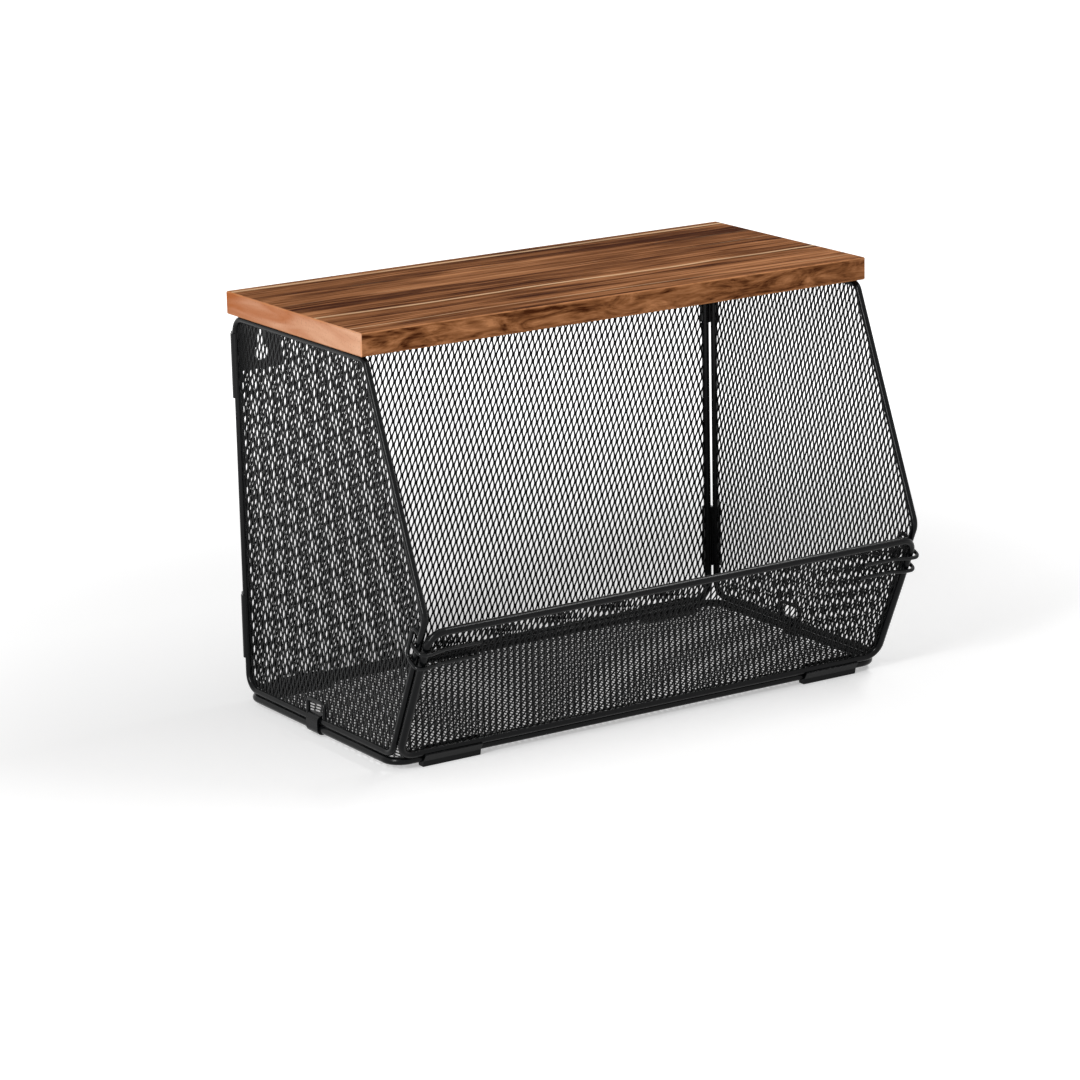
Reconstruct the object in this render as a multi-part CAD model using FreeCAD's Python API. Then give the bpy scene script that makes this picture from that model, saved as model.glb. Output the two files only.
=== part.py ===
import FreeCAD, Part
import math
import os

# Wire produce basket: five framed mesh panels that fold flat, under a loose wooden lid board.
# +Z is up, -Y is the front, the basket stands on the soles of its lower hinge straps at z = 0.

# Sizes of the frames, in mm, between rod centres
side_half_spread = 146.5
side_height = 193.2
side_base_depth = 140.5
side_waist_depth = 175.5
side_waist_height = 75.5
side_top_depth = 127.0
side_corner_radius = 8.0
side_top_corner_radius = 5.0
front_half_spread = 145.0
front_panel_height = 76.0
front_corner_radius = 8.0
base_corner_radius = 9.0
back_corner_radius = 9.0

# Wire radii
side_rod = 1.7
frame_rod = 2.0
loop_wire = 1.1
hairpin_wire = 1.0

# Lid board
lid_width = 300.0
lid_depth = 131.5
lid_thickness = 11.6
lid_front_overhang = 2.6
lid_edge = 0.5

# Clearances
lid_gap = 0.3
stack_gap = 0.3
panel_gap = 0.3
hook_gap = 0.3
hinge_clearance = 0.08
sweep_gap = 0.5
mesh_clearance = 0.5

# Hinge straps of rolled sheet
strap_sheet = 0.9
strap_length = 33.0
upper_strap_drop = 24.5
lower_strap_rise = 33.0
floor_strap_offset = 115.0
foot_drop = 2.2
back_offset = 4.0
back_inset = 2.8
front_hinge_ahead = 2.2
front_hinge_rise = 3.6
rear_hinge_rise = 1.3

# Expanded mesh, with as many whole gaps as each outline would hold without its plain border
mesh_sheet = 0.9
mesh_strand = 1.4
mesh_tilt_ratio = 1.9
mesh_border = 1.2
mesh_gap_count = 340

# Windows in the sides, and the clips that reach through them
clip_width = 11.0
clip_sheet = 1.0
clip_reach = 1.8
clip_setback = 68.0
base_window_width = 16.0
base_window_height = 9.5
front_window_drop = 18.4
front_window_height = 16.8
front_window_depth = 7.5
window_corner_radius = 2.4
hairpin_drop = 20.0
hairpin_spacing = 8.4
hairpin_leg = 30.0
hairpin_turn_radius = 1.6
hairpin_ramp = 7.0

# Keyhole plates for hanging on a wall
plate_width = 25.0
plate_height = 28.5
plate_sheet = 1.2
keyhole_radius = 4.2
keyhole_slot_radius = 2.0
keyhole_pitch = 9.8

Vec = FreeCAD.Vector
UP = Vec(0, 0, 1)

# Places that follow from the sizes
base_z = foot_drop + frame_rod
side_bottom_z = base_z + frame_rod + stack_gap + side_rod
side_top_z = side_bottom_z + side_height
lid_z = side_top_z + side_rod + lid_gap
waist_z = side_bottom_z + side_waist_height
lean = math.atan2(side_waist_depth - side_base_depth, side_waist_height)
front_spacing = side_rod + frame_rod + panel_gap
front_hinge_z = base_z + front_hinge_rise
front_hinge_ahead_of_rear = (
    side_base_depth
    + front_spacing / math.cos(lean)
    + (front_hinge_z - side_bottom_z) * math.tan(lean)
)
front_reach = front_hinge_ahead_of_rear + front_panel_height * math.sin(lean) + frame_rod
rear_reach = back_offset + frame_rod + strap_sheet
rear_y = (front_reach - rear_reach) / 2
back_y = rear_y + back_offset
front_hinge_y = rear_y - front_hinge_ahead_of_rear
base_front_y = front_hinge_y + front_hinge_ahead
back_half_spread = side_half_spread - back_inset
back_bottom_z = base_z + rear_hinge_rise
back_top_z = lid_z - lid_gap - frame_rod


def world(x, ahead, z):
    """Point given by its distance ahead of the rear rods of the sides."""
    return Vec(x, rear_y - ahead, z)


def rounded_path(points, radii, closed):
    """Straight runs joined by tangent arcs, as one wire."""
    count = len(points)
    stops = []
    for i in range(count):
        corner = points[i]
        inner = closed or 0 < i < count - 1
        if not inner or radii[i] == 0:
            stops.append((corner, corner, corner))
            continue
        before = (points[i - 1] - corner).normalize()
        after = (points[(i + 1) % count] - corner).normalize()
        half = before.getAngle(after) / 2
        reach = radii[i] / math.tan(half)
        middle = (before + after).normalize()
        centre = corner + middle * (radii[i] / math.sin(half))
        stops.append((corner + before * reach, centre - middle * radii[i], corner + after * reach))
    edges = []
    if closed:
        start = (stops[-1][2] + stops[0][0]) * 0.5
        edges.append(Part.makeLine(start, stops[0][0]))
    for i, (enter, middle, leave) in enumerate(stops):
        if (enter - leave).Length > 1e-6:
            edges.append(Part.Arc(enter, middle, leave).toShape())
        if i < count - 1:
            edges.append(Part.makeLine(leave, stops[i + 1][0]))
    if closed:
        edges.append(Part.makeLine(stops[-1][2], start))
    return Part.Wire(edges)


def bent_wire(points, radii, wire_radius, closed=False):
    """Round wire bent along a path."""
    path = rounded_path(points, radii, closed)
    first = path.Edges[0]
    start = first.valueAt(first.FirstParameter)
    heading = first.tangentAt(first.FirstParameter)
    section = Part.Wire([Part.Circle(start, heading, wire_radius).toShape()])
    solid = path.makePipeShell([section], True, False)
    return Part.Solid(solid.Shells[0]) if solid.ShapeType != "Solid" else solid


def in_plane(shape, origin, across, along):
    """Moves a shape drawn in the XY plane to a plane given by two directions."""
    normal = across.cross(along)
    turn = FreeCAD.Matrix(
        across.x, along.x, normal.x, origin.x,
        across.y, along.y, normal.y, origin.y,
        across.z, along.z, normal.z, origin.z,
        0, 0, 0, 1,
    )
    moved = shape.copy()
    moved.Placement = FreeCAD.Placement(turn).multiply(moved.Placement)
    return moved


def disc(centre, radius):
    circle = Part.Circle(centre, UP, radius).toShape()
    return Part.Face(Part.Wire([circle]))


def capsule(first, first_radius, second, second_radius):
    """Face round two circles and the tangents between them."""
    line = second - first
    spread = math.acos((first_radius - second_radius) / line.Length)
    heading = math.atan2(line.y, line.x)
    upper = Vec(math.cos(heading + spread), math.sin(heading + spread), 0)
    lower = Vec(math.cos(heading - spread), math.sin(heading - spread), 0)
    ahead = Vec(math.cos(heading), math.sin(heading), 0)
    edges = [
        Part.makeLine(first + lower * first_radius, second + lower * second_radius),
        Part.Arc(second + lower * second_radius, second + ahead * second_radius,
                 second + upper * second_radius).toShape(),
        Part.makeLine(second + upper * second_radius, first + upper * first_radius),
        Part.Arc(first + upper * first_radius, first - ahead * first_radius,
                 first + lower * first_radius).toShape(),
    ]
    return Part.Face(Part.Wire(edges))


def wedge(centre, start_angle, end_angle, reach):
    """Pie-shaped face between two angles in degrees, for opening a rolled sheet."""
    points = [centre]
    steps = 6
    for i in range(steps + 1):
        angle = math.radians(start_angle + (end_angle - start_angle) * i / steps)
        points.append(centre + Vec(math.cos(angle), math.sin(angle), 0) * reach)
    points.append(centre)
    return Part.Face(Part.makePolygon(points))


def drawn_out(profile, length):
    """Gives a profile its length, as one solid."""
    bars = [face.extrude(Vec(0, 0, length)) for face in profile.Faces]
    if len(bars) == 1:
        return bars[0]
    return bars[0].fuse(bars[1:]).removeSplitter()


def polygon_face(points):
    return Part.Face(Part.makePolygon(list(points) + [points[0]]))


def inside_by(point, outline, margin):
    """True when a point lies inside a convex outline by at least a margin."""
    count = len(outline)
    for i in range(count):
        a = outline[i]
        b = outline[(i + 1) % count]
        run = b - a
        offset = (run.x * (point.y - a.y) - run.y * (point.x - a.x)) / run.Length
        if offset < margin:
            return False
    return True


def net(outline, corner_radii, keep_clear):
    """Expanded mesh in the XY plane: one face with diamond gaps, then given its thickness."""
    outer = rounded_path(outline, corner_radii, True)
    area = Part.Face(outer).Area
    pitch_across = math.sqrt(2 * area / (mesh_gap_count * mesh_tilt_ratio))
    pitch_up = pitch_across * mesh_tilt_ratio
    slope = math.hypot(pitch_across, pitch_up)
    half_across = pitch_across / 2 - mesh_strand * slope / pitch_up / 2
    half_up = pitch_up / 2 - mesh_strand * slope / pitch_across / 2
    left = min(p.x for p in outline)
    right = max(p.x for p in outline)
    low = min(p.y for p in outline)
    high = max(p.y for p in outline)
    columns = int((right - left) / pitch_across * 2) + 1
    rows = int((high - low) / pitch_up) + 2
    margin = frame_rod + mesh_border
    gaps = []
    for column in range(columns + 1):
        x = (left + right) / 2 + (column - columns // 2) * pitch_across / 2
        for row in range(rows + 1):
            shift = pitch_up / 2 if (column - columns // 2) % 2 else 0
            y = (low + high) / 2 + (row - rows // 2) * pitch_up + shift
            corners = [Vec(x + half_across, y, 0), Vec(x, y - half_up, 0),
                       Vec(x - half_across, y, 0), Vec(x, y + half_up, 0)]
            if not all(inside_by(p, outline, margin) for p in corners):
                continue
            if any(x - half_across < box[1] and x + half_across > box[0]
                   and y - half_up < box[3] and y + half_up > box[2] for box in keep_clear):
                continue
            gaps.append(Part.makePolygon(corners + [corners[0]]))
    face = Part.Face([outer] + gaps)
    solid = face.extrude(Vec(0, 0, mesh_sheet))
    solid.translate(Vec(0, 0, -mesh_sheet / 2))
    return solid


def slab(x0, x1, y0, y1, thickness):
    return Part.makeBox(x1 - x0, y1 - y0, thickness, Vec(x0, y0, -thickness / 2))


def mirrored(shape):
    return shape.mirror(Vec(0, 0, 0), Vec(1, 0, 0))


parts = {}

# Left side frame, drawn as distance ahead of the rear rod against height
side_corners = [(0, side_bottom_z), (side_base_depth, side_bottom_z), (side_waist_depth, waist_z),
                (side_top_depth, side_top_z), (0, side_top_z)]
side_radii = [side_corner_radius, side_corner_radius, side_corner_radius,
              side_top_corner_radius, side_corner_radius]
side_points = [world(-side_half_spread, ahead, z) for ahead, z in side_corners]
side_frame = bent_wire(side_points, side_radii, side_rod, closed=True)

# Directions along the lower front edge of a side: up the slope, and out of the front panel
slope_up = Vec(0, -math.sin(lean), math.cos(lean))
slope_out = Vec(0, -math.cos(lean), -math.sin(lean))
waist = world(-side_half_spread, side_waist_depth, waist_z)

# Window loops, thin wire standing on the rods of the side
loop_foot = side_rod
base_window = [
    world(-side_half_spread, clip_setback - base_window_width / 2, side_bottom_z + loop_foot),
    world(-side_half_spread, clip_setback - base_window_width / 2, side_bottom_z + base_window_height),
    world(-side_half_spread, clip_setback + base_window_width / 2, side_bottom_z + base_window_height),
    world(-side_half_spread, clip_setback + base_window_width / 2, side_bottom_z + loop_foot),
]
loop_radii = [0, window_corner_radius, window_corner_radius, 0]
base_loop = bent_wire(base_window, loop_radii, loop_wire).cut(side_frame)
window_centre = waist - slope_up * front_window_drop
window_foot = [
    window_centre + slope_up * (side * front_window_height / 2) - slope_out * depth
    for side, depth in ((1, loop_foot), (1, front_window_depth), (-1, front_window_depth), (-1, loop_foot))
]
front_loop = bent_wire(window_foot, loop_radii, loop_wire).cut(side_frame)

# Mesh of the left side, drawn with +X ahead and +Y up, then stood in the plane of the frame
side_outline = [Vec(ahead, z, 0) for ahead, z in side_corners]
window_tilt = math.degrees(lean)
base_hole = slab(clip_setback - base_window_width / 2, clip_setback + base_window_width / 2,
                 side_bottom_z - side_rod, side_bottom_z + base_window_height, 4 * mesh_sheet)
front_hole = slab(-front_window_depth, side_rod, -front_window_height / 2, front_window_height / 2,
                  4 * mesh_sheet)
front_hole.rotate(Vec(0, 0, 0), UP, -window_tilt)
hole_place = Vec(side_waist_depth - math.sin(lean) * front_window_drop,
                 waist_z - math.cos(lean) * front_window_drop, 0)
front_hole.translate(hole_place)
window_margin = loop_wire + mesh_border
side_clear = [
    (clip_setback - base_window_width / 2 - window_margin, clip_setback + base_window_width / 2 + window_margin,
     side_bottom_z, side_bottom_z + base_window_height + window_margin),
    (hole_place.x - front_window_depth - front_window_height / 2, side_waist_depth,
     hole_place.y - front_window_height / 2 - window_margin,
     hole_place.y + front_window_height / 2 + window_margin),
]
side_net = net(side_outline, side_radii, side_clear)
side_net = side_net.cut(base_hole).cut(front_hole)
side_net = in_plane(side_net, Vec(-side_half_spread, rear_y, 0), Vec(0, -1, 0), UP)
side_net = side_net.cut(side_frame.fuse([base_loop, front_loop]))

for side, turn in (("left", lambda s: s), ("right", mirrored)):
    parts[side + "_side_frame"] = turn(side_frame)
    parts[side + "_side_mesh"] = turn(side_net)
    parts[side + "_base_window_loop"] = turn(base_loop)
    parts[side + "_front_window_loop"] = turn(front_loop)

# Base frame, under the sides
base_points = [
    Vec(-side_half_spread, rear_y, base_z), Vec(side_half_spread, rear_y, base_z),
    Vec(side_half_spread, base_front_y, base_z), Vec(-side_half_spread, base_front_y, base_z),
]
base_frame = bent_wire(base_points, [base_corner_radius] * 4, frame_rod, closed=True)

# Back frame, stood behind the rear rods of the sides
back_points = [
    Vec(-back_half_spread, back_y, back_bottom_z), Vec(back_half_spread, back_y, back_bottom_z),
    Vec(back_half_spread, back_y, back_top_z), Vec(-back_half_spread, back_y, back_top_z),
]
back_frame = bent_wire(back_points, [back_corner_radius] * 4, frame_rod, closed=True)

# Front panel frame, leaning out from its bottom rod
front_foot = Vec(0, front_hinge_y, front_hinge_z)
front_points = [
    front_foot + Vec(-front_half_spread, 0, 0), front_foot + Vec(front_half_spread, 0, 0),
    front_foot + Vec(front_half_spread, 0, 0) + slope_up * front_panel_height,
    front_foot + Vec(-front_half_spread, 0, 0) + slope_up * front_panel_height,
]
front_frame = bent_wire(front_points, [front_corner_radius] * 4, frame_rod, closed=True)

# Straps round the rear rods, seen from above with +X inwards and +Y backwards
side_eye = Vec(0, 0, 0)
back_eye = Vec(back_inset, back_offset, 0)
to_back = math.degrees(math.atan2(back_offset, back_inset))
mesh_swing = math.degrees(math.asin((mesh_sheet / 2 + sweep_gap) / side_rod))
side_roll = disc(side_eye, side_rod + hinge_clearance + strap_sheet)
side_roll = side_roll.cut(wedge(side_eye, -90 - mesh_swing, mesh_swing, 4 * frame_rod))
back_roll = disc(back_eye, frame_rod + strap_sheet)
back_roll = back_roll.cut(wedge(back_eye, to_back - 135, mesh_swing, 4 * frame_rod))
strap_face = side_roll.fuse(back_roll)
strap_face = strap_face.cut(disc(side_eye, side_rod + hinge_clearance))
strap_face = strap_face.cut(disc(back_eye, frame_rod))
wall_strap = drawn_out(strap_face, strap_length)
wall_strap.translate(Vec(-side_half_spread, rear_y, -strap_length / 2))
strap_heights = (("upper", side_top_z - upper_strap_drop), ("lower", side_bottom_z + lower_strap_rise))

# Straps under the front, seen from the left end with +X ahead and +Y up
base_eye = Vec(0, 0, 0)
front_eye = Vec(front_hinge_ahead, front_hinge_rise, 0)
lean_angle = 90 - math.degrees(lean)
front_swing = math.degrees(math.asin((mesh_sheet / 2 + sweep_gap) / frame_rod))
front_band = capsule(base_eye, frame_rod + strap_sheet, front_eye, frame_rod + hinge_clearance + strap_sheet)
front_band = front_band.fuse(polygon_face([
    Vec(-frame_rod - strap_sheet, 0, 0), Vec(-frame_rod, -frame_rod - foot_drop, 0),
    Vec(frame_rod, -frame_rod - foot_drop, 0), Vec(frame_rod + strap_sheet, 0, 0)]))
front_band = front_band.cut(capsule(base_eye, frame_rod, front_eye, frame_rod + hinge_clearance))
front_band = front_band.cut(wedge(front_eye, -front_swing, lean_angle + front_swing, 4 * frame_rod))

# Straps under the back, where the base meets the back panel
rear_eye = Vec(-back_offset, rear_hinge_rise, 0)
rear_swing = front_swing
rear_tilt = math.degrees(math.atan2(rear_hinge_rise, back_offset))
rear_band = capsule(base_eye, frame_rod + strap_sheet, rear_eye, frame_rod + strap_sheet)
rear_band = rear_band.fuse(polygon_face([
    Vec(-frame_rod - strap_sheet, 0, 0), Vec(-frame_rod, -frame_rod - foot_drop, 0),
    Vec(frame_rod, -frame_rod - foot_drop, 0), Vec(frame_rod + strap_sheet, 0, 0)]))
rear_band = rear_band.cut(capsule(base_eye, frame_rod, rear_eye, frame_rod))
rear_band = rear_band.cut(wedge(rear_eye, 90 - rear_swing - rear_tilt, 90 + rear_swing, 4 * frame_rod))
rear_band = rear_band.cut(wedge(base_eye, -rear_swing, 180 - rear_tilt - rear_swing, 4 * frame_rod))

# Meshes of the base, the back and the front, with notches where straps and plates sit
notch = frame_rod + strap_sheet + mesh_clearance
base_outline = [Vec(-side_half_spread, base_front_y, 0), Vec(side_half_spread, base_front_y, 0),
                Vec(side_half_spread, rear_y, 0), Vec(-side_half_spread, rear_y, 0)]
base_net = net(base_outline, [base_corner_radius] * 4, [])
for side in (-1, 1):
    middle = side * floor_strap_offset
    half = strap_length / 2 + mesh_clearance
    base_net = base_net.cut(slab(middle - half, middle + half, base_front_y - notch, base_front_y + notch,
                                 4 * mesh_sheet))
base_net.translate(Vec(0, 0, base_z))
base_net = base_net.cut(base_frame)

back_outline = [Vec(-back_half_spread, back_bottom_z, 0), Vec(back_half_spread, back_bottom_z, 0),
                Vec(back_half_spread, back_top_z, 0), Vec(-back_half_spread, back_top_z, 0)]
plate_clear = [(side * back_half_spread - (plate_width + mesh_border if side > 0 else 0),
                side * back_half_spread + (plate_width + mesh_border if side < 0 else 0),
                back_top_z - plate_height - mesh_border, back_top_z) for side in (-1, 1)]
back_net = net(back_outline, [back_corner_radius] * 4, plate_clear)
for side in (-1, 1):
    edge = side * back_half_spread
    inner = side * (back_half_spread - plate_width)
    back_net = back_net.cut(slab(min(edge, inner), max(edge, inner), back_top_z - plate_height, back_top_z,
                                 4 * mesh_sheet))
back_net = in_plane(back_net, Vec(0, back_y, 0), Vec(1, 0, 0), UP)
back_net = back_net.cut(back_frame)

front_outline = [Vec(-front_half_spread, 0, 0), Vec(front_half_spread, 0, 0),
                 Vec(front_half_spread, front_panel_height, 0), Vec(-front_half_spread, front_panel_height, 0)]
front_net = net(front_outline, [front_corner_radius] * 4, [])
front_net = in_plane(front_net, front_foot, Vec(1, 0, 0), slope_up)
front_net = front_net.cut(front_frame)

parts["base_frame"] = base_frame
parts["base_mesh"] = base_net
parts["back_frame"] = back_frame
parts["back_mesh"] = back_net
parts["front_frame"] = front_frame
parts["front_mesh"] = front_net

# Keyhole plates in the upper corners of the back, drawn with +X inwards from the left rod
plate = polygon_face([Vec(0, 0, 0), Vec(plate_width, 0, 0), Vec(plate_width, -plate_height, 0),
                      Vec(0, -plate_height, 0)])
key_x = (plate_width + frame_rod) / 2
key_y = -(plate_height + frame_rod) / 2
key_low = Vec(key_x, key_y - keyhole_pitch / 2, 0)
key_high = Vec(key_x, key_y + keyhole_pitch / 2, 0)
plate = plate.cut(disc(key_low, keyhole_radius))
plate = plate.cut(capsule(key_low, keyhole_slot_radius, key_high, keyhole_slot_radius))
plate = plate.extrude(Vec(0, 0, plate_sheet))
plate.translate(Vec(0, 0, -plate_sheet / 2))
plate = in_plane(plate, Vec(-back_half_spread, back_y, back_top_z), Vec(1, 0, 0), UP)
plate_corner = Part.makeCylinder(back_corner_radius, 4 * frame_rod,
                                 Vec(-back_half_spread + back_corner_radius, back_y - 2 * frame_rod,
                                     back_top_z - back_corner_radius), Vec(0, 1, 0))
corner_block = Part.makeBox(back_corner_radius, 4 * frame_rod, back_corner_radius,
                            Vec(-back_half_spread, back_y - 2 * frame_rod, back_top_z - back_corner_radius))
plate = plate.cut(corner_block.cut(plate_corner))
plate = plate.cut(back_frame)

# Sheet clips of the base, seen from the front with +X inwards and +Y up
stack = Vec(0, side_bottom_z - base_z, 0)
clip_face = capsule(base_eye, frame_rod + clip_sheet, stack, side_rod + hook_gap + clip_sheet)
clip_face = clip_face.fuse(polygon_face([
    Vec(0, -frame_rod - clip_sheet, 0), Vec(clip_reach, -frame_rod - clip_sheet, 0),
    Vec(clip_reach, stack.y + side_rod + hook_gap + clip_sheet, 0),
    Vec(0, stack.y + side_rod + hook_gap + clip_sheet, 0)]))
clip_face = clip_face.cut(capsule(base_eye, frame_rod, stack, side_rod + hook_gap))
clip_face = clip_face.cut(polygon_face([
    Vec(0, -frame_rod, 0), Vec(4 * frame_rod, -frame_rod, 0),
    Vec(4 * frame_rod, stack.y + side_rod + hook_gap, 0), Vec(0, stack.y + side_rod + hook_gap, 0)]))
trim = polygon_face([
    Vec(clip_reach, -4 * frame_rod, 0), Vec(6 * frame_rod, -4 * frame_rod, 0),
    Vec(6 * frame_rod, 6 * frame_rod, 0), Vec(clip_reach, 6 * frame_rod, 0)])
clip_face = clip_face.cut(trim)
clip = drawn_out(clip_face, clip_width)
clip.translate(Vec(0, 0, -clip_width / 2))
clip = in_plane(clip, world(-side_half_spread, clip_setback, base_z), Vec(1, 0, 0), UP)

# Hairpin clips of the front panel: two legs on its outer face that reach round into the side's window
hook_x = side_half_spread + side_rod + hook_gap + hairpin_wire
hook_out = front_spacing + side_rod + hook_gap + hairpin_wire
over_rod = frame_rod + hairpin_wire + hinge_clearance
on_mesh = mesh_sheet / 2 + hairpin_wire
wrap_radius = side_rod + hook_gap + hairpin_wire
turn_x = hook_x - wrap_radius - hairpin_turn_radius - hinge_clearance
hairpin_start = front_half_spread - hairpin_leg
ramp_foot = front_half_spread - over_rod - hairpin_ramp
ramp_top = front_half_spread - over_rod / 2
hairpin_centre = waist - slope_up * hairpin_drop
front_plane = front_foot + slope_up * ((hairpin_centre - front_foot).dot(slope_up))
hairpin_points = []
for along in (hairpin_spacing / 2, -hairpin_spacing / 2):
    leg = [(hairpin_start, on_mesh), (ramp_foot, on_mesh), (ramp_top, over_rod), (hook_x, over_rod),
           (hook_x, -hook_out), (turn_x, -hook_out)]
    if along < 0:
        leg.reverse()
    for across, out in leg:
        hairpin_points.append(Vec(-across, front_plane.y, front_plane.z) + slope_out * out + slope_up * along)
leg_radii = [0, over_rod, over_rod, over_rod, wrap_radius, hairpin_turn_radius]
hairpin = bent_wire(hairpin_points, leg_radii + leg_radii[::-1], hairpin_wire)

for side, turn in (("left", lambda s: s), ("right", mirrored)):
    for level, height in strap_heights:
        placed = wall_strap.copy()
        placed.translate(Vec(0, 0, height))
        parts[level + "_" + side + "_hinge_strap"] = turn(placed)
    floor_place = -floor_strap_offset - strap_length / 2
    front_strap = drawn_out(front_band, -strap_length)
    front_strap = in_plane(front_strap, Vec(floor_place, base_front_y, base_z), Vec(0, -1, 0), UP)
    rear_strap = drawn_out(rear_band, -strap_length)
    rear_strap = in_plane(rear_strap, Vec(floor_place, rear_y, base_z), Vec(0, -1, 0), UP)
    parts["front_" + side + "_hinge_strap"] = turn(front_strap)
    parts["rear_" + side + "_hinge_strap"] = turn(rear_strap)
    parts["keyhole_plate_" + side] = turn(plate)
    parts["base_clip_" + side] = turn(clip)
    parts["hairpin_clip_" + side] = turn(hairpin)

# Lid board, resting on the top rods
lid_front_y = rear_y - side_top_depth - lid_front_overhang
lid = Part.makeBox(lid_width, lid_depth, lid_thickness, Vec(-lid_width / 2, lid_front_y, lid_z))
lid = lid.makeChamfer(lid_edge, lid.Edges)
parts["lid"] = lid

os.makedirs("parts", exist_ok=True)
for name, shape in parts.items():
    solids = shape.Solids
    if len(solids) != 1 or not shape.isValid():
        print("check", name, len(solids), shape.isValid())
    solids[0].exportStep("parts/" + name + ".step")

whole = Part.makeCompound(list(parts.values())).BoundBox
print("nodes", len(parts))
print("size", round(whole.XLength, 2), round(whole.YLength, 2), round(whole.ZLength, 2))
print("corner", round(whole.XMin, 2), round(whole.YMin, 2), round(whole.ZMin, 2))
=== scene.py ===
"""Looks of the wire produce basket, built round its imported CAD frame."""
import math

import bpy
from mathutils import Matrix, Vector


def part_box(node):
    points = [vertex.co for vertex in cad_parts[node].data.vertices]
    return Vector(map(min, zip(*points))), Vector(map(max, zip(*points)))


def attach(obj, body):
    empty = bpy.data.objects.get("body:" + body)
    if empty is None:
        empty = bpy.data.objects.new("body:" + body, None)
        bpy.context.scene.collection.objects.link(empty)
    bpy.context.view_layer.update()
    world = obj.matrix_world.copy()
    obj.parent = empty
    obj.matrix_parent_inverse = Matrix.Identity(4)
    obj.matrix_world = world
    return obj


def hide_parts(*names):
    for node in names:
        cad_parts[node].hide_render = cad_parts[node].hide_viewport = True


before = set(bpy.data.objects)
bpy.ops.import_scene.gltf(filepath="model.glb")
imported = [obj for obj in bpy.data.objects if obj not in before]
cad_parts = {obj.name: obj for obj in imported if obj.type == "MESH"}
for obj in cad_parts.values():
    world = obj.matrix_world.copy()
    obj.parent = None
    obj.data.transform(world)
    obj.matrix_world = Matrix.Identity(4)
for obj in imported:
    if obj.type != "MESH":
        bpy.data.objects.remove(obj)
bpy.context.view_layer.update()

bl_info = {
    "name": "Wire produce basket",
    "version": (1, 0, 0),
    "blender": (4, 5, 0),
    "location": "3D View > Sidebar > Basket",
    "description": "Expanded mesh, coatings, wooden board and stage of a folding wire produce basket",
    "category": "Object",
}

MM = 0.001

# Sizes shared with the frame, in mm
SIDE_ROD = 1.7
FRAME_ROD = 2.0
SIDE_BASE_DEPTH = 140.5
SIDE_WAIST_DEPTH = 175.5
SIDE_WAIST_HEIGHT = 75.5
SIDE_TOP_DEPTH = 127.0
SIDE_CORNER = 8.0
SIDE_TOP_CORNER = 5.0
FRAME_CORNER = 9.0
FRONT_CORNER = 8.0
FRONT_PANEL_HEIGHT = 76.0
CLIP_SETBACK = 68.0
BASE_WINDOW = (16.0, 9.5)
FRONT_WINDOW = (7.5, 16.8)
FRONT_WINDOW_DROP = 18.4
FLOOR_STRAP_OFFSET = 115.0
FLOOR_STRAP_LENGTH = 33.0
PLATE_SIZE = (25.0, 28.5)
STRAP_SHEET = 0.9
MESH_CLEARANCE = 0.5
STRAP_END_ROOM = 0.4

RODS = ("left_side_frame", "right_side_frame", "back_frame", "base_frame", "front_frame")
THIN_WIRES = (
    "left_base_window_loop", "right_base_window_loop",
    "left_front_window_loop", "right_front_window_loop",
    "hairpin_clip_left", "hairpin_clip_right",
)
SHEET_PARTS = (
    "upper_left_hinge_strap", "upper_right_hinge_strap",
    "lower_left_hinge_strap", "lower_right_hinge_strap",
    "front_left_hinge_strap", "front_right_hinge_strap",
    "rear_left_hinge_strap", "rear_right_hinge_strap",
    "base_clip_left", "base_clip_right",
    "keyhole_plate_left", "keyhole_plate_right",
)


# Roughness, specular level, grain scale, grain depth in metres, dust and lightness of each coating
ROD_COAT = (0.22, 0.14, 1500.0, 0.00006, 0.10, 1.0)
THIN_WIRE_COAT = (0.20, 0.20, 1900.0, 0.00004, 0.08, 1.3)
SHEET_COAT = (0.25, 0.14, 1300.0, 0.00007, 0.12, 1.1)
MESH_COAT = (0.28, 0.11, 2200.0, 0.00004, 0.06, 1.0)

# Layers of the board's top: scale along each axis, offset, detail, roughness, distortion and share
TOP_LAYERS = {
    "slow": ((3.5, 30.0, 30.0), (2.3, 0.7, 0), 2.0, 0.5, 0.0, 0.26),
    "streak": ((10.0, 135.0, 135.0), (0, 0, 0), 5.0, 0.62, 0.5, 0.34),
    "fibre": ((26.0, 620.0, 620.0), (0, 0, 0), 4.0, 0.65, 0.0, 0.20),
    "lines": ((6.0, 300.0, 300.0), (0, 4.0, 0), 2.0, 0.5, 0.8, 0.20),
}

# Pale streaks of the top: place as a share of the depth, width, wander, run and gaps
SAP_STREAKS = (
    (-0.17, 0.0019, 0.010, 8.0, 0.25),
    (0.455, 0.0022, 0.003, 5.0, 0.15),
    (-0.41, 0.0011, 0.004, 6.0, 0.75),
    (0.10, 0.0010, 0.010, 9.0, 1.0),
    (0.27, 0.0009, 0.008, 8.0, 1.0),
)

# Stage, in metres
FLOOR_REACH = 6.0
FLOOR_DROP = 0.0002
GLOW_START = 0.25
GLOW_END = 0.8
NEAR_GLOW = 0.37
SIDE_LAMP_PLACE = (-1.25, -0.55, 0.68)
SIDE_LAMP_TARGET = (0, 0, 0.12)
SIDE_LAMP_SIZE = (0.22, 0.95)
TOP_LAMP_PLACE = (0.70, -0.25, 1.15)
TOP_LAMP_TARGET = (0, 0, 0.1)
TOP_LAMP_SIZE = (0.9, 0.12)
CAMERA_PLACE = (-1.1216394, -1.7042061, 0.6183847)
CAMERA_RIGHT = (0.8373664, -0.5462375, -0.0210247)
CAMERA_UP = (0.1562292, 0.2022834, 0.9667853)
CAMERA_BACK = (-0.5238415, -0.8128382, 0.2547236)


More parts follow.
